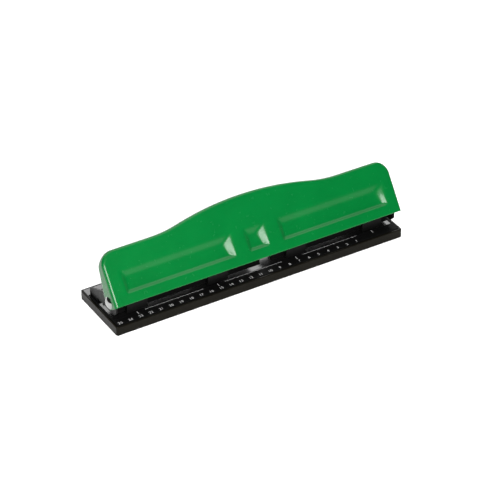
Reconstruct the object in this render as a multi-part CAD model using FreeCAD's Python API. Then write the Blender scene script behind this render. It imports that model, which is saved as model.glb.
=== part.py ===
"""Four-hole desk punch: a full-length pressed steel lever over four spring-returned punch pins.

Frame: +X along the punch, +Y from the paper mouth to the back, +Z up.
The origin is on the table, under the middle of the base. All sizes are millimetres.
"""
import FreeCAD, Part
import math
import os

from FreeCAD import Placement, Rotation, Vector

# Base
base_length = 292.0
base_depth = 66.0
base_height = 9.0
base_corner_radius = 1.8
base_rim_radius = 0.7
foot_proud = 0.6
foot_radius = 6.0
foot_x = 120.0
foot_y = 22.0
tray_wall = 1.4
tray_floor = 1.5
bed_thickness = 1.4
bed_gap = 0.4
ledge_width = 3.0
rule_thickness = 0.5
rule_gap = 0.4
rule_back_y = 22.0
rule_front_width = 10.0
rule_end_width = 1.4

# Holes: four, 80 mm apart, 12 mm from the paper's edge
hole_count = 4
hole_pitch = 80.0
paper_margin = 12.0
pin_radius = 3.0
running_clearance = 0.06
paper_gap = 3.2
hole_y = -6.3
die_radius = 5.2
die_depth = 2.2

# Punch brackets, folded from strip
bracket_width = 20.0
bracket_sheet = 1.6
bracket_front_y = -22.5
bracket_top_z = 25.0
bracket_foot_length = 12.0
bracket_jaw_gap = 0.6
rivet_radius = 1.6
rivet_head_radius = 2.8
rivet_head_height = 0.9
bracket_rivet_x = 6.0
bracket_rivet_back = 9.0
stop_setback = 1.8
stop_half_length = 138.0
stop_clearance = 0.2
rail_sheet = 1.4
rail_front_y = -18.3
rail_flange = 25.2
rail_pin_hole_radius = 6.2
rail_notch_gap = 0.2
rail_hem_radius = 0.8
rail_hem_proud = 0.6
rail_outer_x = 138.8
rail_gap = (5.0, 17.0)

# Pivot and its end brackets
pivot_y = -19.2
pivot_z = 26.7
stud_radius = 4.0
stud_head_radius = 5.7
stud_head_height = 2.4
end_plate_x = 140.6
end_sheet = 1.6
washer_thickness = 1.9
washer_radius = 6.6
stud_wall_gap = 0.15
stud_collar_width = 1.4
end_foot_x = 131.4
end_foot_y = (8.0, 22.0)
end_rivet_x = 136.5
end_rivet_ys = (11.5, 18.5)
end_arm_rise = 1.8
end_arm_front = -25.5
end_arm_chamfer = 4.0
end_arm_top = 6.6
end_arm_shoulder = 3.0
end_arm_ys = (-22.6, -15.5)
end_back_height = 17.0

# Lever: a pressed pan that leans back, written in its own frame
lever_half_length = 145.6
lever_sheet = 1.2
lever_lean = 36.0
lever_foot_y = -32.2
lever_foot_z = 28.6
lever_shoulder = 48.8
lever_peak = 59.4
lever_corner_radius = 13.0
hump_half_width = 95.0
hump_radius = 300.0
lever_edge_radius = 2.6
press_travel_deg = 36.0

# Recessed panels in the lever's face: (start, end) along X at the foot; both ends flare upward
panel_spans = ((-131.3, -24.0), (-9.6, 10.0), (24.6, 133.3))
panel_low = 9.0
panel_high = 30.3
panel_foot_run = 2.6
panel_top_run = 7.9
panel_flare = 1.5
panel_depth_low = 2.4
panel_depth_high = 2.8
panel_left_runs = (2.9, 4.2)
panel_right_runs = (3.8, 8.3)
panel_mouth = 1.0

# Press bar, in the lever's own frame: distance up the face and behind it
bar_radius = 2.5
bar_up = 25.0
bar_behind = 9.0
bar_lift_off = 0.15
saddle_x = 17.6
saddle_width = 10.0
saddle_half_height = 5.0
saddle_bar_cover = 0.8
bar_socket = 0.6

# Punch pin and what is on it
pin_head_radius = 6.5
pin_head_thickness = 2.0
pin_head_round = 0.6
pin_tip_lift = 0.5
pin_tip_hollow = 4.0
pin_tip_hollow_depth = 1.4
groove_depth = 0.6
clip_drop = 0.2
clip_gap_half = 1.7
spring_wire = 0.8
spring_turns = 4
spring_steps_per_turn = 16
spring_end_gap = 0.05
spring_pin_gap = 0.5
clip_radius = 5.0
clip_thickness = 0.8
seat_thickness = 0.6
seat_radius = 5.6
seat_bore_gap = 0.2

bed_top = base_height
bed_half_x = base_length / 2 - tray_wall - bed_gap
bed_half_y = base_depth / 2 - tray_wall - bed_gap
slot_top = bed_top + paper_gap
stop_y = hole_y + paper_margin
hole_xs = [(i - (hole_count - 1) / 2) * hole_pitch for i in range(hole_count)]
lean = math.radians(lever_lean)
lever_frame = Placement(Vector(0, lever_foot_y, lever_foot_z), Rotation(Vector(1, 0, 0), 90 - lever_lean))


def block(x, y, z):
    """Box between (low, high) pairs."""
    size = [pair[1] - pair[0] for pair in (x, y, z)]
    return Part.makeBox(*size, Vector(x[0], y[0], z[0]))


def rod(x, y, z, radius):
    """Upright cylinder over the (low, high) pair z."""
    return Part.makeCylinder(radius, z[1] - z[0], Vector(x, y, z[0]))


def rod_x(x, y, z, radius):
    """Cylinder along X over the (low, high) pair x."""
    return Part.makeCylinder(radius, x[1] - x[0], Vector(x[0], y, z), Vector(1, 0, 0))


def slab(half_x, half_y, z, radius):
    """Flat block about the origin with rounded upright corners."""
    body = block((-half_x, half_x), (-half_y, half_y), z)
    upright = [e for e in body.Edges if abs(e.tangentAt(e.FirstParameter).z) > 0.9]
    return body.makeFillet(radius, upright)


def side_profile(points, x):
    """Closed outline in Y and Z, drawn out along X."""
    loop = [Vector(x[0], y, z) for y, z in points]
    face = Part.Face(Part.makePolygon(loop + loop[:1]))
    return face.extrude(Vector(x[1] - x[0], 0, 0))


def export(name, shape):
    os.makedirs("parts", exist_ok=True)
    shape.exportStep(os.path.join("parts", name + ".step"))


def group(solids):
    return Part.makeCompound(solids)


def at_height(up, behind):
    """Row Y and Z of a point given up the lever's face and behind it."""
    y = lever_foot_y + up * math.sin(lean) + behind * math.cos(lean)
    z = lever_foot_z + up * math.cos(lean) - behind * math.sin(lean)
    return y, z


bar_y, bar_z = at_height(bar_up, bar_behind)


# ---------------------------------------------------------------- base

def foot_places():
    return [(x, y) for x in (-foot_x, foot_x) for y in (-foot_y, foot_y)]


def rivet_places():
    """(x, y) of each rivet through a bracket foot and the bed."""
    back = stop_y + bracket_rivet_back
    places = [(x + side * bracket_rivet_x, back) for x in hole_xs for side in (-1, 1)]
    return places + [(side * end_rivet_x, y) for side in (-1, 1) for y in end_rivet_ys]


def make_chip_tray():
    """Open plastic tub: the punch's outer base, which catches the chips."""
    outer = slab(base_length / 2, base_depth / 2, (foot_proud, base_height), base_corner_radius)
    rim = [e for e in outer.Edges if min(v.Z for v in e.Vertexes) > base_height - 0.01]
    outer = outer.makeFillet(base_rim_radius, rim)
    seat = (base_height - bed_thickness, base_height + 1)
    inner_radius = base_corner_radius - tray_wall
    recess = slab(base_length / 2 - tray_wall, base_depth / 2 - tray_wall, seat, inner_radius)
    well_x = base_length / 2 - tray_wall - ledge_width
    well_y = base_depth / 2 - tray_wall - ledge_width
    well = slab(well_x, well_y, (foot_proud + tray_floor, base_height + 1), inner_radius)
    return outer.cut(recess).cut(well)


def make_bed_plate():
    """Steel plate that closes the tray and carries every bracket."""
    bed = slab(bed_half_x, bed_half_y, (bed_top - bed_thickness, bed_top), base_corner_radius - tray_wall)
    for x in hole_xs:
        bed = bed.cut(rod(x, hole_y, (0, bed_top + 1), die_radius))
    for x, y in rivet_places():
        bed = bed.cut(rod(x, y, (0, bed_top + 1), rivet_radius))
    return bed


def make_rule_strip():
    """Thin printed rule across the front, with an arm back along each end."""
    half_x = bed_half_x - rule_gap
    front = -bed_half_y + rule_gap
    height = (bed_top, bed_top + rule_thickness)
    strip = block((-half_x, half_x), (front, front + rule_front_width), height)
    for side in (-1, 1):
        arm_x = sorted((side * half_x, side * (half_x - rule_end_width)))
        strip = strip.fuse(block(arm_x, (front, rule_back_y), height))
    return strip.removeSplitter()


def make_die(x):
    """Hardened ring pressed into the bed under one pin."""
    height = (bed_top - die_depth, bed_top)
    ring = rod(x, hole_y, height, die_radius)
    return ring.cut(rod(x, hole_y, height, pin_radius + running_clearance))


def make_feet():
    """Four rubber pads let into the underside."""
    return group([rod(x, y, (0, foot_proud), foot_radius) for x, y in foot_places()])


def make_rivets():
    """Flat-headed rivets, head on the bracket foot and tail flush with the bed's underside."""
    solids = []
    for x, y in rivet_places():
        foot_top = bed_top + bracket_sheet
        shank = rod(x, y, (bed_top - bed_thickness, foot_top), rivet_radius)
        head = rod(x, y, (foot_top, foot_top + rivet_head_height), rivet_head_radius)
        solids.append(shank.fuse(head).removeSplitter())
    return group(solids)


# ---------------------------------------------------------------- punching heads

def make_punch_bracket(x):
    """Folded strip: foot, back wall, top plate, front wall and lower jaw over the paper slot."""
    back = stop_y + stop_setback
    top = bracket_top_z
    sheet = bracket_sheet
    outline = [
        (back + sheet + bracket_foot_length, bed_top),
        (back, bed_top),
        (back, top - sheet),
        (bracket_front_y + sheet, top - sheet),
        (bracket_front_y + sheet, slot_top + sheet),
        (back - bracket_jaw_gap, slot_top + sheet),
        (back - bracket_jaw_gap, slot_top),
        (bracket_front_y, slot_top),
        (bracket_front_y, top),
        (back + sheet, top),
        (back + sheet, bed_top + sheet),
        (back + sheet + bracket_foot_length, bed_top + sheet),
    ]
    half = bracket_width / 2
    bracket = side_profile(outline, (x - half, x + half))
    bracket = bracket.cut(rod(x, hole_y, (slot_top - 1, top + 1), pin_radius + running_clearance))
    for side in (-1, 1):
        rivet_x = x + side * bracket_rivet_x
        rivet_y = stop_y + bracket_rivet_back
        bracket = bracket.cut(rod(rivet_x, rivet_y, (bed_top, bed_top + sheet), rivet_radius))
    return bracket


def make_rail(x):
    """Channel that ties two punching heads together: front wall with a rolled hem, and a roof."""
    front = rail_front_y
    top = bracket_top_z - bracket_sheet
    sheet = rail_sheet
    outline = [
        (front, slot_top),
        (front + sheet, slot_top),
        (front + sheet, top - sheet),
        (front + rail_flange, top - sheet),
        (front + rail_flange, top),
        (front, top),
    ]
    rail = side_profile(outline, x)
    hem_y = front - rail_hem_proud + rail_hem_radius
    rail = rail.fuse(rod_x(x, hem_y, slot_top + rail_hem_radius, rail_hem_radius))
    for hole_x in hole_xs:
        half = bracket_width / 2 + rail_notch_gap
        notch = block((hole_x - half, hole_x + half), (front - 1, front + sheet + 1),
                      (slot_top - 1, slot_top + bracket_sheet))
        rail = rail.cut(notch)
        rail = rail.cut(rod(hole_x, hole_y, (top - sheet, top), rail_pin_hole_radius))
    return rail


def make_paper_stop():
    """Long strip that the paper's edge meets."""
    x = (-stop_half_length, stop_half_length)
    return block(x, (stop_y, stop_y + bracket_sheet), (bed_top, slot_top - stop_clearance))


def make_pin(x):
    """Punch pin: mushroom head, long shank, hollow-ground tip and a groove for its clip."""
    head_top = bar_z - bar_radius - bar_lift_off
    head_low = head_top - pin_head_thickness
    tip = slot_top + pin_tip_lift
    shank = rod(x, hole_y, (tip, head_low + pin_head_thickness / 2), pin_radius)
    head = rod(x, hole_y, (head_low, head_top), pin_head_radius)
    rim = [e for e in head.Edges if len(e.Vertexes) == 1 and e.Vertexes[0].Z > head_top - 0.01]
    head = head.makeFillet(pin_head_round, rim)
    clip_top = bracket_top_z - bracket_sheet - clip_drop
    groove = rod(x, hole_y, (clip_top - clip_thickness, clip_top), pin_radius + 1)
    groove = groove.cut(rod(x, hole_y, (clip_top - clip_thickness, clip_top), pin_radius - groove_depth))
    hollow_z = tip + pin_tip_hollow_depth - pin_tip_hollow
    hollow = rod_x((x - pin_radius - 1, x + pin_radius + 1), hole_y, hollow_z, pin_tip_hollow)
    return shank.fuse(head).removeSplitter().cut(groove).cut(hollow)


def make_clip(x):
    """Retaining ring in the pin's groove, open on one side."""
    clip_top = bracket_top_z - bracket_sheet - clip_drop
    height = (clip_top - clip_thickness, clip_top)
    ring = rod(x, hole_y, height, clip_radius).cut(rod(x, hole_y, height, pin_radius - groove_depth))
    return ring.cut(block((x - clip_gap_half, x + clip_gap_half), (hole_y, hole_y + clip_radius + 1), height))


def make_seat(x):
    """Flat washer between the spring and the bracket's top plate."""
    height = (bracket_top_z, bracket_top_z + seat_thickness)
    return rod(x, hole_y, height, seat_radius).cut(rod(x, hole_y, height, pin_radius + seat_bore_gap))


def make_spring(x):
    """Compression spring round the pin, from its seat to the pin's head."""
    low = bracket_top_z + seat_thickness + spring_wire / 2 + spring_end_gap
    high = bar_z - bar_radius - bar_lift_off - pin_head_thickness - spring_wire / 2 - spring_end_gap
    coil_radius = pin_radius + spring_wire / 2 + spring_pin_gap
    steps = spring_turns * spring_steps_per_turn
    sections = []
    for step in range(steps + 1):
        circle = Part.Circle(Vector(x + coil_radius, hole_y, low), Vector(0, 1, 0), spring_wire / 2)
        section = Part.Wire(Part.Edge(circle))
        section.rotate(Vector(x, hole_y, 0), Vector(0, 0, 1), 360.0 * step / spring_steps_per_turn)
        section.translate(Vector(0, 0, (high - low) * step / steps))
        sections.append(section)
    return Part.makeLoft(sections, True, True)


# ---------------------------------------------------------------- pivots

def make_end_bracket(side):
    """C-shaped plate: its foot is behind the paper, its arm reaches forward to the pivot."""
    low = slot_top + end_arm_rise
    foot_front, foot_back = end_foot_y
    outline = [
        (foot_back, bed_top),
        (foot_front, bed_top),
        (foot_front, low),
        (end_arm_front + end_arm_chamfer, low),
        (end_arm_front, low + end_arm_chamfer),
        (end_arm_front, pivot_z + end_arm_shoulder),
        (end_arm_ys[0], pivot_z + end_arm_top),
        (end_arm_ys[1], pivot_z + end_arm_top),
        (foot_back, end_back_height),
    ]
    x = sorted((side * end_plate_x, side * (end_plate_x + end_sheet)))
    plate = side_profile(outline, x)
    reach = sorted((side * end_foot_x, side * (end_plate_x + end_sheet)))
    foot = block(reach, end_foot_y, (bed_top, bed_top + bracket_sheet))
    bracket = plate.fuse(foot).removeSplitter()
    bracket = bracket.cut(rod_x((min(x) - 1, max(x) + 1), pivot_y, pivot_z, stud_radius))
    for y in end_rivet_ys:
        bracket = bracket.cut(rod(side * end_rivet_x, y, (bed_top, bed_top + bracket_sheet), rivet_radius))
    return bracket


def make_pivot_stud(side):
    """Domed stud through the lever's end wall and the end bracket, with a staked inner collar."""
    wall_out = lever_half_length + stud_wall_gap
    shank_in = end_plate_x - stud_collar_width
    shank = rod_x((shank_in, wall_out), pivot_y, pivot_z, stud_radius)
    collar = rod_x((shank_in, end_plate_x), pivot_y, pivot_z, stud_radius + stud_collar_width)
    sphere_radius = (stud_head_radius ** 2 + stud_head_height ** 2) / (2 * stud_head_height)
    centre = wall_out + stud_head_height - sphere_radius
    ball = Part.makeSphere(sphere_radius, Vector(centre, pivot_y, pivot_z))
    dome = ball.common(rod_x((wall_out, wall_out + 5), pivot_y, pivot_z, stud_head_radius + 1))
    stud = shank.fuse(collar).fuse(dome).removeSplitter()
    if side < 0:
        stud = stud.mirror(Vector(0, 0, 0), Vector(1, 0, 0))
    return stud


def make_pivot_washer(side):
    """Plastic washer between the end bracket and the lever's end wall."""
    x = sorted((side * (end_plate_x + end_sheet), side * (end_plate_x + end_sheet + washer_thickness)))
    washer = rod_x(x, pivot_y, pivot_z, washer_radius)
    return washer.cut(rod_x(x, pivot_y, pivot_z, stud_radius))


# ---------------------------------------------------------------- lever

def lever_outline(inset, low):
    """Outline of the lever's face, taken in by inset, as a wire in its own plane."""
    half = lever_half_length - inset
    shoulder = lever_shoulder - inset
    peak = lever_peak - inset
    corner = lever_corner_radius - inset
    rise = lever_peak - lever_shoulder
    radius_sum = (hump_half_width ** 2 + rise ** 2) / (2 * rise)
    turn = math.asin(hump_half_width / radius_sum)
    crown = hump_radius - inset
    valley = radius_sum - crown

    def on_crown(angle):
        return Vector(crown * math.sin(angle), peak - crown + crown * math.cos(angle), 0)

    def on_valley(side, angle):
        x = side * (hump_half_width - valley * math.sin(angle))
        return Vector(x, shoulder + valley - valley * math.cos(angle), 0)

    def on_corner(side, angle):
        x = side * (half - corner + corner * math.sin(angle))
        return Vector(x, shoulder - corner + corner * math.cos(angle), 0)

    quarter = math.pi / 2
    edges = [
        Part.makeLine(Vector(-half, low, 0), Vector(half, low, 0)),
        Part.makeLine(Vector(half, low, 0), on_corner(1, quarter)),
        Part.Arc(on_corner(1, quarter), on_corner(1, quarter / 2), on_corner(1, 0)).toShape(),
        Part.makeLine(on_corner(1, 0), on_valley(1, 0)),
        Part.Arc(on_valley(1, 0), on_valley(1, turn / 2), on_crown(turn)).toShape(),
        Part.Arc(on_crown(turn), on_crown(0), on_crown(-turn)).toShape(),
        Part.Arc(on_crown(-turn), on_valley(-1, turn / 2), on_valley(-1, 0)).toShape(),
        Part.makeLine(on_valley(-1, 0), on_corner(-1, 0)),
        Part.Arc(on_corner(-1, 0), on_corner(-1, quarter / 2), on_corner(-1, quarter)).toShape(),
        Part.makeLine(on_corner(-1, quarter), Vector(-half, low, 0)),
    ]
    return Part.Wire(edges)


def lever_pan(inset, low, front, back, edge_radius):
    """Solid of the lever's outline between two depths, its front edge rounded but not its foot."""
    face = Part.Face(lever_outline(inset, low))
    face.translate(Vector(0, 0, front))
    pan = face.extrude(Vector(0, 0, back - front))
    edges = []
    for edge in pan.Edges:
        on_front = all(abs(v.Z - front) < 0.01 for v in edge.Vertexes)
        on_foot = all(abs(v.Y - low) < 0.01 for v in edge.Vertexes)
        if on_front and not on_foot:
            edges.append(edge)
    return pan.makeFillet(edge_radius, edges)


def flange_shape():
    """What the end walls and the top lip keep: deep at the pivot, shallow at the top."""
    outline = [
        (-2.0, 1.0), (-2.0, -12.0), (1.2, -15.6), (5.0, -17.0), (12.0, -17.0), (17.0, -16.2),
        (28.0, -12.4), (38.0, -9.6), (45.0, -5.4), (lever_peak + 2, -4.6), (lever_peak + 2, 1.0),
    ]
    half = lever_half_length + 1
    loop = [Vector(-half, up, depth) for up, depth in outline]
    face = Part.Face(Part.makePolygon(loop + loop[:1]))
    return face.extrude(Vector(2 * half, 0, 0))


def panel_recess(span, grow):
    """Wedge-shaped recess with sloping ends, deepest near its top; grow is the sheet's offset."""
    x0, x1 = span[0] - grow, span[1] + grow
    low, high = panel_low - grow, panel_high + grow
    floor_low = panel_low + panel_foot_run - grow / 2
    floor_high = panel_high - panel_top_run + grow / 2
    depth_low, depth_high = panel_depth_low + grow, panel_depth_high + grow
    rim = [
        Vector(x0, low, 0),
        Vector(x1, low, 0),
        Vector(x1 + panel_flare, high, 0),
        Vector(x0 - panel_flare, high, 0),
    ]
    floor = [
        Vector(x0 + panel_left_runs[0], floor_low, -depth_low),
        Vector(x1 - panel_right_runs[0], floor_low, -depth_low),
        Vector(x1 - panel_right_runs[1], floor_high, -depth_high),
        Vector(x0 + panel_left_runs[1], floor_high, -depth_high),
    ]
    faces = []
    for i in range(4):
        j = (i + 1) % 4
        for loop in ((rim[i], rim[j], floor[j]), (rim[i], floor[j], floor[i])):
            faces.append(Part.Face(Part.makePolygon(list(loop) + [loop[0]])))
    faces.append(Part.Face(Part.makePolygon(floor + floor[:1])))
    faces.append(Part.Face(Part.makePolygon(rim + rim[:1])))
    wedge = Part.Solid(Part.Shell(faces))
    if wedge.Volume < 0:
        wedge.reverse()
    cap = Part.Face(Part.makePolygon(rim + rim[:1])).extrude(Vector(0, 0, panel_mouth))
    return wedge.fuse(cap)


def make_handle():
    """The lever: face, end walls and top lip pressed from one sheet, with three recessed panels."""
    outer = lever_pan(0.0, 0.0, 0.0, -20.0, lever_edge_radius)
    inner = lever_pan(lever_sheet, -4.0, -lever_sheet, -24.0, lever_edge_radius - lever_sheet)
    for span in panel_spans:
        outer = outer.cut(panel_recess(span, 0.0))
        inner = inner.cut(panel_recess(span, lever_sheet))
    handle = outer.cut(inner).common(flange_shape())
    handle.Placement = lever_frame
    hole = stud_radius + running_clearance
    handle = handle.cut(rod_x((-160, 160), pivot_y, pivot_z, hole))
    reach = lever_half_length - lever_sheet + bar_socket
    return handle.cut(rod_x((-reach, reach), bar_y, bar_z, bar_radius))


def make_press_bar():
    """Steel rod across the lever that pushes all four pins."""
    reach = lever_half_length - lever_sheet + bar_socket
    return rod_x((-reach, reach), bar_y, bar_z, bar_radius)


def make_saddle(side):
    """Strap welded inside the lever that backs the press bar between the recessed panels."""
    low, high = bar_up - saddle_half_height, bar_up + saddle_half_height
    x = (side * saddle_x - saddle_width / 2, side * saddle_x + saddle_width / 2)
    strap = block(x, (low, high), (-bar_behind - saddle_bar_cover, -lever_sheet))
    strap.Placement = lever_frame
    return strap.cut(rod_x((x[0] - 1, x[1] + 1), bar_y, bar_z, bar_radius))


# ---------------------------------------------------------------- output

export("chip_tray", make_chip_tray())
export("bed_plate", make_bed_plate())
export("rule_strip", make_rule_strip())
export("rubber_feet", make_feet())
export("bracket_rivets", make_rivets())
export("paper_stop", make_paper_stop())
export("front_rail_left", make_rail((-rail_outer_x, rail_gap[0])))
export("front_rail_right", make_rail((rail_gap[1], rail_outer_x)))
for number, hole_x in enumerate(hole_xs, start=1):
    export("punch_die_%d" % number, make_die(hole_x))
    export("punch_bracket_%d" % number, make_punch_bracket(hole_x))
    export("punch_pin_%d" % number, make_pin(hole_x))
    export("retaining_clip_%d" % number, make_clip(hole_x))
    export("spring_seat_%d" % number, make_seat(hole_x))
    export("return_spring_%d" % number, make_spring(hole_x))
for label, side in (("left", -1), ("right", 1)):
    export("end_bracket_" + label, make_end_bracket(side))
    export("pivot_stud_" + label, make_pivot_stud(side))
    export("pivot_washer_" + label, make_pivot_washer(side))
    export("bar_saddle_" + label, make_saddle(side))
export("handle", make_handle())
export("press_bar", make_press_bar())
print("lever pivot", pivot_y, pivot_z, "bar", round(bar_y, 2), round(bar_z, 2))
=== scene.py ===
"""Studio scene of a four-hole desk punch: green pressed lever over a black bed with a printed rule."""
import math

import bmesh
import bpy
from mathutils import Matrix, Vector


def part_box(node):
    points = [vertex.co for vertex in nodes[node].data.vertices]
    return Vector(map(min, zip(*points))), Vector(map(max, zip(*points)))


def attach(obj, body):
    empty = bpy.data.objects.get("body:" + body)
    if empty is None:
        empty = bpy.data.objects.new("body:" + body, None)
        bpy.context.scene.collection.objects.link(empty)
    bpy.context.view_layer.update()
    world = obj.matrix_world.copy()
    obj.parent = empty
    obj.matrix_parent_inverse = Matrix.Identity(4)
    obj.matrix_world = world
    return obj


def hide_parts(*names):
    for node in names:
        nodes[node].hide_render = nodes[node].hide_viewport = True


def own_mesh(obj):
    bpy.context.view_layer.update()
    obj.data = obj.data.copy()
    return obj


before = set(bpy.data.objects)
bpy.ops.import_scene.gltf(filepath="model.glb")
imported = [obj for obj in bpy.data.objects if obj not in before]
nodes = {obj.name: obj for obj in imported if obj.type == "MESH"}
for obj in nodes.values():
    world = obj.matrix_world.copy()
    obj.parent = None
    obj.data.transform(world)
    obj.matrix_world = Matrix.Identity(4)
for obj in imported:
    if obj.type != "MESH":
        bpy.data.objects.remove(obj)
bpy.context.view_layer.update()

MM = 0.001
scene = bpy.context.scene
holes = range(1, 5)
hole_places = [sum(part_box("punch_pin_%d" % i), Vector()) / 2 for i in holes]


# ---------------------------------------------------------------- camera

CAMERA_PLACE = (-0.9394, -1.5631, 1.2718)
CAMERA_HEADING = math.radians(31.17)
CAMERA_DIP = math.radians(34.5)
CAMERA_LENS_MM = 180.8
CAMERA_SENSOR_MM = 36.0


def make_camera():
    data = bpy.data.cameras.new("camera")
    data.lens = CAMERA_LENS_MM
    data.sensor_width = CAMERA_SENSOR_MM
    data.clip_end = 50.0
    camera = bpy.data.objects.new("camera", data)
    camera.location = CAMERA_PLACE
    camera.rotation_euler = (math.pi / 2 - CAMERA_DIP, 0.0, -CAMERA_HEADING)
    scene.collection.objects.link(camera)
    scene.camera = camera


make_camera()
scene.view_settings.view_transform = "Standard"


# ---------------------------------------------------------------- helpers

def mesh_piece(name, verts, faces, smooth=True):
    mesh = bpy.data.meshes.new(name)
    mesh.from_pydata([tuple(v) for v in verts], [], faces)
    mesh.update()
    if smooth:
        mesh.polygons.foreach_set("use_smooth", [True] * len(mesh.polygons))
    piece = bpy.data.objects.new(name, mesh)
    scene.collection.objects.link(piece)
    return piece


def apply_modifiers(piece):
    bpy.context.view_layer.update()
    seen = piece.evaluated_get(bpy.context.evaluated_depsgraph_get())
    finished = bpy.data.meshes.new_from_object(seen)
    piece.modifiers.clear()
    piece.data = finished


def dress(piece, material):
    piece.data.materials.clear()
    piece.data.materials.append(material)


# ---------------------------------------------------------------- materials

NOISE_ROUGHNESS = 0.55
NOISE_LOW, NOISE_HIGH = 0.3, 0.7
COAT_ROUGHNESS = 0.08


class Finish:
    """A Principled material and the few procedural nodes that vary it in object coordinates."""

    def __init__(self, name, roughness, metallic=0.0, specular=0.5):
        self.material = bpy.data.materials.new(name)
        self.material.use_nodes = True
        self.tree = self.material.node_tree
        self.shader = self.tree.nodes["Principled BSDF"]
        self.shader.inputs["Metallic"].default_value = metallic
        self.shader.inputs["Roughness"].default_value = roughness
        self.shader.inputs["Specular IOR Level"].default_value = specular
        self.place = self.tree.nodes.new("ShaderNodeTexCoord").outputs["Object"]
        self.height = None

    def stretched(self, scale):
        mapping = self.tree.nodes.new("ShaderNodeMapping")
        mapping.inputs["Scale"].default_value = scale
        self.tree.links.new(self.place, mapping.inputs["Vector"])
        return mapping.outputs["Vector"]

    def noise(self, scale, detail, stretch=None):
        node = self.tree.nodes.new("ShaderNodeTexNoise")
        node.inputs["Scale"].default_value = scale
        node.inputs["Detail"].default_value = detail
        node.inputs["Roughness"].default_value = NOISE_ROUGHNESS
        source = self.stretched(stretch) if stretch else self.place
        self.tree.links.new(source, node.inputs["Vector"])
        return node.outputs["Fac"]

    def spread(self, value, low, high):
        node = self.tree.nodes.new("ShaderNodeMapRange")
        node.inputs["From Min"].default_value = NOISE_LOW
        node.inputs["From Max"].default_value = NOISE_HIGH
        node.inputs["To Min"].default_value = low
        node.inputs["To Max"].default_value = high
        self.tree.links.new(value, node.inputs["Value"])
        return node.outputs["Result"]

    def colour(self, value, dark, light):
        ramp = self.tree.nodes.new("ShaderNodeValToRGB")
        low, high = ramp.color_ramp.elements
        low.position, high.position = NOISE_LOW, NOISE_HIGH
        low.color, high.color = (*dark, 1.0), (*light, 1.0)
        self.tree.links.new(value, ramp.inputs["Fac"])
        self.tree.links.new(ramp.outputs["Color"], self.shader.inputs["Base Color"])

    def vary_roughness(self, value, low, high):
        self.tree.links.new(self.spread(value, low, high), self.shader.inputs["Roughness"])

    def bump(self, value, distance, strength=1.0):
        node = self.tree.nodes.new("ShaderNodeBump")
        node.inputs["Distance"].default_value = distance
        node.inputs["Strength"].default_value = strength
        self.tree.links.new(value, node.inputs["Height"])
        if self.height is not None:
            self.tree.links.new(self.height, node.inputs["Normal"])
        self.height = node.outputs["Normal"]
        self.tree.links.new(self.height, self.shader.inputs["Normal"])

    def coat(self, weight):
        self.shader.inputs["Coat Weight"].default_value = weight
        self.shader.inputs["Coat Roughness"].default_value = COAT_ROUGHNESS


def enamel(name, dark, light, roughness, specular, coat):
    """Stoved paint: soft colour drift, a faint orange-peel surface and a thin gloss coat."""
    finish = Finish(name, roughness, specular=specular)
    finish.colour(finish.noise(35.0, 2.0), dark, light)
    finish.vary_roughness(finish.noise(260.0, 2.0), roughness * 0.9, roughness * 1.15)
    finish.bump(finish.noise(500.0, 1.0), 0.0000012)
    finish.bump(finish.noise(90.0, 1.0), 0.00001, 0.3)
    finish.coat(coat)
    return finish.material


def moulded(name, dark, light, roughness, grain=1200.0, relief=0.000006, specular=0.4):
    """Moulded plastic or rubber with a fine spark-eroded grain."""
    finish = Finish(name, roughness, specular=specular)
    finish.colour(finish.noise(60.0, 3.0), dark, light)
    finish.vary_roughness(finish.noise(420.0, 3.0), roughness * 0.9, roughness * 1.12)
    finish.bump(finish.noise(grain, 3.0), relief)
    return finish.material


def metal(name, dark, light, roughness, stretch):
    """Bare or plated metal with fine drawn marks along its length."""
    finish = Finish(name, roughness, metallic=1.0)
    marks = finish.noise(700.0, 4.0, stretch)
    finish.colour(finish.noise(120.0, 4.0), dark, light)
    finish.vary_roughness(marks, roughness * 0.75, roughness * 1.35)
    finish.bump(marks, 0.000003)
    return finish.material


def printed(name, dark, light):
    """Screen-printed ink: slightly uneven cover and edges."""
    finish = Finish(name, 0.5, specular=0.3)
    finish.colour(finish.noise(900.0, 3.0), dark, light)
    finish.bump(finish.noise(1500.0, 2.0), 0.000003)
    return finish.material


def grey(level):
    return (level, level, level)


ALONG_X = (0.06, 1.0, 1.0)
ALONG_Z = (1.0, 1.0, 0.06)
green_enamel = enamel("green_enamel", (0.0001, 0.082, 0.0145), (0.0003, 0.092, 0.0165), 0.24, 0.15, 0.08)
black_enamel = enamel("black_enamel", grey(0.001), grey(0.002), 0.32, 0.06, 0.0)
bed_enamel = enamel("bed_enamel", grey(0.002), grey(0.004), 0.20, 0.35, 0.05)
black_tray = moulded("black_tray", (0.0025, 0.002, 0.001), (0.004, 0.0035, 0.002), 0.30, specular=0.06)
rule_black = moulded("rule_black", grey(0.0015), grey(0.0025), 0.6, specular=0.06)
zinc_steel = metal("zinc_steel", grey(0.50), grey(0.66), 0.30, ALONG_X)
hard_steel = metal("hard_steel", grey(0.45), grey(0.60), 0.22, ALONG_Z)
spring_steel = metal("spring_steel", grey(0.34), grey(0.48), 0.28, ALONG_Z)
chrome = metal("chrome", grey(0.20), grey(0.28), 0.14, ALONG_Z)
nylon = moulded("nylon", grey(0.014), grey(0.022), 0.42)
rubber = moulded("rubber", grey(0.016), grey(0.026), 0.75, 900.0, 0.00002)
white_ink = printed("white_ink", grey(0.34), grey(0.48))

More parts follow.
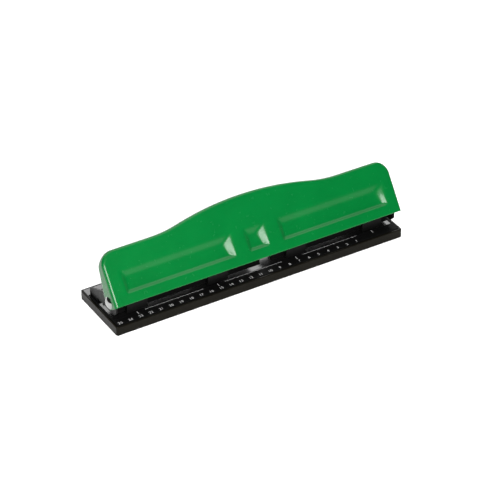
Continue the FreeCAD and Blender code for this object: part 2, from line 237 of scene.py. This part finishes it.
NODE_FINISHES = {
    "handle": green_enamel,
    "chip_tray": black_tray,
    "bed_plate": bed_enamel,
    "rule_strip": rule_black,
    "rubber_feet": rubber,
    "bracket_rivets": zinc_steel,
    "paper_stop": black_enamel,
    "front_rail": black_enamel,
    "punch_die": hard_steel,
    "punch_bracket": black_enamel,
    "punch_pin": hard_steel,
    "retaining_clip": spring_steel,
    "spring_seat": zinc_steel,
    "return_spring": spring_steel,
    "end_bracket": black_enamel,
    "pivot_stud": chrome,
    "pivot_washer": nylon,
    "bar_saddle": zinc_steel,
    "press_bar": zinc_steel,
}


def dress_nodes():
    for name, node in nodes.items():
        stem = next(key for key in NODE_FINISHES if name.startswith(key))
        dress(node, NODE_FINISHES[stem])


dress_nodes()


# ---------------------------------------------------------------- lever shell

LEVER_LEAN = math.radians(36.0)
LEVER_FOOT = Vector((0.0, -32.2, 28.6))
HALF_LENGTH = 145.6
SHOULDER = 48.8
PEAK = 59.4
CORNER_RADIUS = 13.0
HUMP_HALF_WIDTH = 95.0
HUMP_RADIUS = 300.0
EDGE_RADIUS = 2.6
SHEET = 1.2
PANEL_SPANS = ((-131.3, -24.0), (-9.6, 10.0), (24.6, 133.3))
PANEL_LOW = 9.0
PANEL_HIGH = 30.3
PANEL_FOOT_RUN = 2.6
PANEL_TOP_RUN = 7.9
PANEL_FLARE = 1.5
PANEL_DEPTHS = (2.4, 2.8)
PANEL_LEFT_RUNS = (2.9, 4.2)
PANEL_RIGHT_RUNS = (3.8, 8.3)
CREASE = 0.6
FOOT_ROUND = 0.9
FIXED_ROWS_TO = 33.0
CORNER_STEPS = 20
BELOW_EDGE = 0.03
COLUMN_STEP = 2.0
FINE_COLUMN_STEP = 0.4
LEAST_COLUMN_STEP = 0.01
SLOPE_MARGIN = 0.7
RIM_MARGIN = 0.5
ROW_MARGIN = 1.0
FLOOR_MARGIN = 1.2
TOP_STEPS = 8
BEND_STEPS = 5
WALL_STEPS = 6
LARGEST_EXPONENT = 60.0


def to_row(x, up, out):
    """Metres in the row frame of a point given along the lever, up its face and out of it."""
    y = LEVER_FOOT.y + up * math.sin(LEVER_LEAN) - out * math.cos(LEVER_LEAN)
    z = LEVER_FOOT.z + up * math.cos(LEVER_LEAN) + out * math.sin(LEVER_LEAN)
    return Vector((x, y, z)) * MM


def between(pair, share):
    return pair[0] + (pair[1] - pair[0]) * share


def smooth_least(values, radius):
    """The least of some values, with the change from one to another rounded off."""
    total = sum(math.exp(-(v - min(values)) / radius) for v in values)
    return min(values) - radius * math.log(total)


def panel_depth(x, up):
    """How far the pressed panels and the rounded lower edge set the face back at a point."""
    depth = 0.0
    if up < FOOT_ROUND:
        depth = FOOT_ROUND - math.sqrt(FOOT_ROUND ** 2 - (FOOT_ROUND - up) ** 2)
    rise = (up - PANEL_LOW) / (PANEL_HIGH - PANEL_LOW)
    floor_rows = PANEL_HIGH - PANEL_TOP_RUN - PANEL_LOW - PANEL_FOOT_RUN
    share = min(max((up - PANEL_LOW - PANEL_FOOT_RUN) / floor_rows, 0.0), 1.0)
    floor = between(PANEL_DEPTHS, share)
    for start, end in PANEL_SPANS:
        left, right = start - PANEL_FLARE * rise, end + PANEL_FLARE * rise
        left_run = start + between(PANEL_LEFT_RUNS, share) - left
        right_run = right - end + between(PANEL_RIGHT_RUNS, share)
        slopes = (
            floor,
            (x - left) * floor / left_run,
            (right - x) * floor / right_run,
            (up - PANEL_LOW) * PANEL_DEPTHS[0] / PANEL_FOOT_RUN,
            (PANEL_HIGH - up) * PANEL_DEPTHS[1] / PANEL_TOP_RUN,
        )
        set_back = smooth_least(slopes, CREASE / 2)
        exponent = min(set_back / (CREASE / 2), LARGEST_EXPONENT)
        depth = max(depth, CREASE / 2 * math.log(1.0 + math.exp(exponent)))
    return depth


def outline_top(x, inset):
    """Height of the lever's outline, taken in by inset, at a place along it."""
    rise = PEAK - SHOULDER
    radius_sum = (HUMP_HALF_WIDTH ** 2 + rise ** 2) / (2 * rise)
    turn = math.asin(HUMP_HALF_WIDTH / radius_sum)
    crown = HUMP_RADIUS - inset
    valley = radius_sum - crown
    across = abs(x)
    corner = CORNER_RADIUS - inset
    corner_start = HALF_LENGTH - CORNER_RADIUS
    if across <= crown * math.sin(turn):
        return PEAK - inset - crown + math.sqrt(crown ** 2 - across ** 2)
    if across <= HUMP_HALF_WIDTH:
        drop = valley ** 2 - (HUMP_HALF_WIDTH - across) ** 2
        return SHOULDER - inset + valley - math.sqrt(drop)
    if across <= corner_start:
        return SHOULDER - inset
    return SHOULDER - CORNER_RADIUS + math.sqrt(max(corner ** 2 - (across - corner_start) ** 2, 0.0))


FLANGE_CURVE = (
    (0.0, 14.2), (1.2, 15.6), (5.0, 17.0), (12.0, 17.0), (17.0, 16.2),
    (28.0, 12.4), (38.0, 9.6), (45.0, 5.4), (PEAK + 2.0, 4.6),
)


def flange_depth(up):
    """Depth of the wall behind the face, at a height up the face."""
    for (low, deep_low), (high, deep_high) in zip(FLANGE_CURVE, FLANGE_CURVE[1:]):
        if up <= high:
            return deep_low + (deep_high - deep_low) * (up - low) / (high - low)
    return FLANGE_CURVE[-1][1]


def stretch_steps(start, end, step):
    """Even steps of about the given size from start, up to but not including end."""
    count = max(1, round(abs(end - start) / step))
    return [start + (end - start) * i / count for i in range(count)]


def face_columns():
    """Places along the lever, close together where the face bends."""
    inner = HALF_LENGTH - EDGE_RADIUS
    corner = HALF_LENGTH - CORNER_RADIUS
    radius = CORNER_RADIUS - EDGE_RADIUS
    left = [-corner - radius * math.cos(math.pi / 2 * i / CORNER_STEPS) for i in range(CORNER_STEPS)]
    marks = [-corner]
    for start, end in PANEL_SPANS:
        inner_start = start + PANEL_LEFT_RUNS[1] + SLOPE_MARGIN
        inner_end = end - PANEL_RIGHT_RUNS[1] - SLOPE_MARGIN
        outer_start, outer_end = start - PANEL_FLARE - RIM_MARGIN, end + PANEL_FLARE + RIM_MARGIN
        marks += [outer_start, inner_start, inner_end, outer_end]
    marks = sorted({min(max(mark, -corner), corner) for mark in marks + [corner]})
    columns = list(left)
    for low, high in zip(marks, marks[1:]):
        if high - low < LEAST_COLUMN_STEP:
            continue
        fine = any(low < place < high for span in PANEL_SPANS for place in span)
        columns += stretch_steps(low, high, FINE_COLUMN_STEP if fine else COLUMN_STEP)
    columns.append(corner)
    columns += [-x for x in reversed(left)]
    columns[0], columns[-1] = -inner, inner
    return columns


def face_rows():
    """Heights shared by every column, as far as they run level."""
    ramp_start = PANEL_LOW - ROW_MARGIN
    ramp_end = PANEL_LOW + PANEL_FOOT_RUN + ROW_MARGIN
    slope_start = PANEL_HIGH - PANEL_TOP_RUN - FLOOR_MARGIN
    slope_end = PANEL_HIGH + ROW_MARGIN
    stretches = (
        (BELOW_EDGE, FOOT_ROUND, 0.15),
        (FOOT_ROUND, ramp_start, 1.5),
        (ramp_start, ramp_end, 0.3),
        (ramp_end, slope_start, 1.0),
        (slope_start, slope_end, 0.35),
    )
    rows = []
    for start, end, step in stretches:
        rows += stretch_steps(start, end, step)
    return rows + [slope_end, FIXED_ROWS_TO]


def face_points(columns, rows):
    """Every grid point of the face as (along, up), column by column."""
    points = []
    for x in columns:
        top = outline_top(x, EDGE_RADIUS)
        spread = top - FIXED_ROWS_TO
        heights = rows + [FIXED_ROWS_TO + spread * (i + 1) / TOP_STEPS for i in range(TOP_STEPS)]
        points += [(x, up) for up in heights]
    return points


def face_quads(column_count, per_column):
    quads = []
    for i in range(column_count - 1):
        for j in range(per_column - 1):
            a = i * per_column + j
            quads.append((a, a + per_column, a + per_column + 1, a + 1))
    return quads


def face_rim(column_count, per_column):
    """Grid indices up the left end, along the top and down the right end."""
    last = (column_count - 1) * per_column
    rim = list(range(per_column))
    rim += [i * per_column + per_column - 1 for i in range(1, column_count - 1)]
    return rim + list(range(last + per_column - 1, last - 1, -1))


def rim_directions(rim, points):
    """Outward direction in the face at each point of the rim."""
    directions = []
    for place, index in enumerate(rim):
        before = points[rim[max(place - 1, 0)]]
        after = points[rim[min(place + 1, len(rim) - 1)]]
        along = Vector((after[0] - before[0], after[1] - before[1])).normalized()
        outward = Vector((-along.y, along.x))
        if index in (rim[0], rim[-1]):
            outward = Vector((math.copysign(1.0, points[index][0]), 0.0))
        directions.append(outward)
    return directions


def wall_point(point, outward, step):
    """A point of the rolled edge or, further on, of the wall behind it."""
    angle = math.pi / 2 * min(step, BEND_STEPS) / BEND_STEPS
    reach = EDGE_RADIUS * math.sin(angle)
    depth = EDGE_RADIUS * (1.0 - math.cos(angle))
    x, up = point[0] + outward.x * reach, point[1] + outward.y * reach
    if step > BEND_STEPS:
        depth += (flange_depth(up) - EDGE_RADIUS) * (step - BEND_STEPS) / WALL_STEPS
    return to_row(x, up, -depth)


def make_lever_shell():
    columns, rows = face_columns(), face_rows()
    per_column = len(rows) + TOP_STEPS
    points = face_points(columns, rows)
    verts = [to_row(x, up, -panel_depth(x, up)) for x, up in points]
    faces = face_quads(len(columns), per_column)
    rim = face_rim(len(columns), per_column)
    directions = rim_directions(rim, points)
    previous = rim
    for step in range(1, BEND_STEPS + WALL_STEPS + 1):
        ring = list(range(len(verts), len(verts) + len(rim)))
        verts += [wall_point(points[index], outward, step) for index, outward in zip(rim, directions)]
        for k in range(len(rim) - 1):
            faces.append((previous[k], previous[k + 1], ring[k + 1], ring[k]))
        previous = ring
    shell = mesh_piece("lever_shell", verts, faces)
    thick = shell.modifiers.new("sheet", "SOLIDIFY")
    thick.thickness = SHEET * MM
    thick.offset = -1.0
    thick.use_even_offset = False
    apply_modifiers(shell)
    return shell


lever_shell = make_lever_shell()
dress(lever_shell, green_enamel)
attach(lever_shell, "lever")
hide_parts("handle")


# ---------------------------------------------------------------- springs

SPRING_TURNS = 4
SPRING_WIRE_RADIUS = 0.4
SPRING_WIRE_SIDES = 10
SPRING_STEPS_PER_TURN = 28
SPRING_CLOSING = 0.55


def coil_path(centre, radius, bottom, top):
    """Centre line of the wire, its turns closer together towards both ends."""
    steps = SPRING_TURNS * SPRING_STEPS_PER_TURN
    path = []
    for i in range(steps + 1):
        share = i / steps
        eased = share - SPRING_CLOSING * math.sin(2 * math.pi * share) / (2 * math.pi)
        angle = 2 * math.pi * SPRING_TURNS * share
        height = bottom - centre.z + (top - bottom) * eased
        path.append(centre + Vector((radius * math.cos(angle), radius * math.sin(angle), height)))
    return path


def wire_mesh(name, path, centre, radius):
    """Round wire along a path that turns about a centre, closed at both ends."""
    sides, last = SPRING_WIRE_SIDES, len(path) - 1
    verts, faces = [], []
    for i, point in enumerate(path):
        ahead = (path[min(i + 1, last)] - path[max(i - 1, 0)]).normalized()
        outward = Vector((point.x - centre.x, point.y - centre.y, 0.0)).normalized()
        across = ahead.cross(outward)
        for k in range(sides):
            turn = 2 * math.pi * k / sides
            verts.append(point + (outward * math.cos(turn) + across * math.sin(turn)) * radius)
    for i in range(last):
        for k in range(sides):
            a, b = i * sides + k, i * sides + (k + 1) % sides
            faces.append((a, a + sides, b + sides, b))
    faces.append(tuple(range(sides)))
    faces.append(tuple(reversed(range(last * sides, (last + 1) * sides))))
    return mesh_piece(name, verts, faces)


def make_spring(number):
    low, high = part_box("return_spring_%d" % number)
    centre = (low + high) / 2
    wire = SPRING_WIRE_RADIUS * MM
    path = coil_path(centre, (high.x - low.x) / 2 - wire, low.z + wire, high.z - wire)
    spring = wire_mesh("coil_spring_%d" % number, path, centre, wire)
    dress(spring, spring_steel)
    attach(spring, "base")
    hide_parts("return_spring_%d" % number)
    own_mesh(spring)


for hole in holes:
    make_spring(hole)


# ---------------------------------------------------------------- printed rule

INK = 0.03
RULE_CENTIMETRE = 10
TICKS_BEHIND_FRONT = 9.6
TICK_RANGE = (-112, 104)
TICK_WIDTH = 0.32
TICK_LENGTHS = {"centimetre": 1.3, "half": 1.0, "millimetre": 0.7}
HEAD_CLEARANCE = (15.0, 7.0)
CENTRE_MARK_WIDTH = 0.5
CENTRE_MARK_LENGTH = 3.6
NUMERALS_BEHIND_FRONT = 1.1
NUMERAL_HEIGHT = 3.0
DIGIT_HEIGHT_PER_SIZE = 0.72
NUMERAL_COUNT = 25
FIRST_NUMERAL_X = -140
rule_low, rule_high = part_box("rule_strip")
tick_back = rule_low.y + TICKS_BEHIND_FRONT * MM


def finish_print(name, build):
    """Turn a finished bmesh into an inked piece on the strip."""
    mesh = bpy.data.meshes.new(name)
    build.to_mesh(mesh)
    build.free()
    piece = bpy.data.objects.new(name, mesh)
    scene.collection.objects.link(piece)
    dress(piece, white_ink)
    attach(piece, "base")


def add_mark(build, x, width, length):
    """A flat block of ink at x in metres, reaching forward from the strip's tick line."""
    low = Vector((x - width * MM / 2, tick_back - length * MM, rule_high.z))
    high = Vector((x + width * MM / 2, tick_back, rule_high.z + INK * MM))
    verts = bmesh.ops.create_cube(build, size=1.0)["verts"]
    bmesh.ops.scale(build, vec=high - low, verts=verts)
    bmesh.ops.translate(build, vec=(low + high) / 2, verts=verts)


def tick_length(x):
    if x % RULE_CENTIMETRE == 0:
        return TICK_LENGTHS["centimetre"]
    return TICK_LENGTHS["half" if x % (RULE_CENTIMETRE // 2) == 0 else "millimetre"]


def near_a_head(x):
    offsets = [x - place.x / MM for place in hole_places]
    return any(-HEAD_CLEARANCE[0] < offset < HEAD_CLEARANCE[1] for offset in offsets)


def make_rule_ticks():
    """Millimetre marks behind the numerals, longer at each half and whole centimetre."""
    build = bmesh.new()
    for x in range(TICK_RANGE[0], TICK_RANGE[1] + 1):
        if not near_a_head(x):
            add_mark(build, x * MM, TICK_WIDTH, tick_length(x))
    finish_print("rule_ticks", build)


def make_centre_marks():
    """Short mark on the strip in front of each pin."""
    build = bmesh.new()
    for place in hole_places:
        add_mark(build, place.x, CENTRE_MARK_WIDTH, CENTRE_MARK_LENGTH)
    finish_print("centre_marks", build)


def make_digits(text, x):
    """Raised digits as a text object on the strip."""
    data = bpy.data.curves.new("numeral", "FONT")
    data.body = text
    data.size = NUMERAL_HEIGHT * MM / DIGIT_HEIGHT_PER_SIZE
    data.extrude = INK * MM / 2
    data.align_x = "CENTER"
    digits = bpy.data.objects.new("numeral", data)
    digits.location = (x, rule_low.y + NUMERALS_BEHIND_FRONT * MM, rule_high.z + INK * MM / 2)
    scene.collection.objects.link(digits)
    return digits


def make_numerals():
    """Centimetre numerals, counting down from left to right as on the strip."""
    made = []
    for count in range(NUMERAL_COUNT):
        x = (FIRST_NUMERAL_X + RULE_CENTIMETRE * count) * MM
        made.append(make_digits(str(NUMERAL_COUNT - count), x))
    bpy.context.view_layer.update()
    graph = bpy.context.evaluated_depsgraph_get()
    build = bmesh.new()
    for digits in made:
        flat = bpy.data.meshes.new_from_object(digits.evaluated_get(graph))
        flat.transform(digits.matrix_world)
        build.from_mesh(flat)
        bpy.data.meshes.remove(flat)
        data = digits.data
        bpy.data.objects.remove(digits)
        bpy.data.curves.remove(data)
    finish_print("rule_numerals", build)


make_rule_ticks()
make_centre_marks()
make_numerals()


# ---------------------------------------------------------------- studio

FLOOR_REACH = 8.0
AIM = (0.0, 0.0, 0.03)
WORLD_STRENGTH = 0.05


def make_floor():
    size = FLOOR_REACH
    corners = [(-size, -size, 0), (size, -size, 0), (size, size, 0), (-size, size, 0)]
    floor = mesh_piece("floor", corners, [(0, 1, 2, 3)], smooth=False)
    finish = Finish("floor_paper", 0.9, specular=0.1)
    finish.colour(finish.noise(3.0, 2.0), grey(0.93), grey(0.95))
    dress(floor, finish.material)


def area_light(name, place, width, height, power):
    """Rectangular light aimed at the punch and hidden from the camera."""
    data = bpy.data.lights.new(name, "AREA")
    data.shape = "RECTANGLE"
    data.size = width
    data.size_y = height
    data.energy = power
    light = bpy.data.objects.new(name, data)
    light.location = place
    light.rotation_euler = (Vector(AIM) - Vector(place)).to_track_quat("-Z", "Y").to_euler()
    light.visible_camera = False
    scene.collection.objects.link(light)


def make_lights():
    area_light("key_softbox", (-0.55, -1.15, 0.78), 1.05, 0.5, 50.0)
    area_light("top_softbox", (0.1, 0.3, 1.9), 2.2, 1.6, 34.0)
    area_light("back_panel", (1.1, 1.7, 1.25), 1.6, 1.0, 30.0)
    area_light("right_fill", (2.2, -0.2, 0.9), 0.8, 0.8, 4.0)
    area_light("rear_fill", (-0.6, 2.2, 0.9), 1.2, 0.6, 12.0)
    world = bpy.data.worlds.new("world")
    world.use_nodes = True
    background = world.node_tree.nodes["Background"]
    background.inputs["Color"].default_value = (1.0, 1.0, 1.0, 1.0)
    background.inputs["Strength"].default_value = WORLD_STRENGTH
    scene.world = world


make_floor()
make_lights()
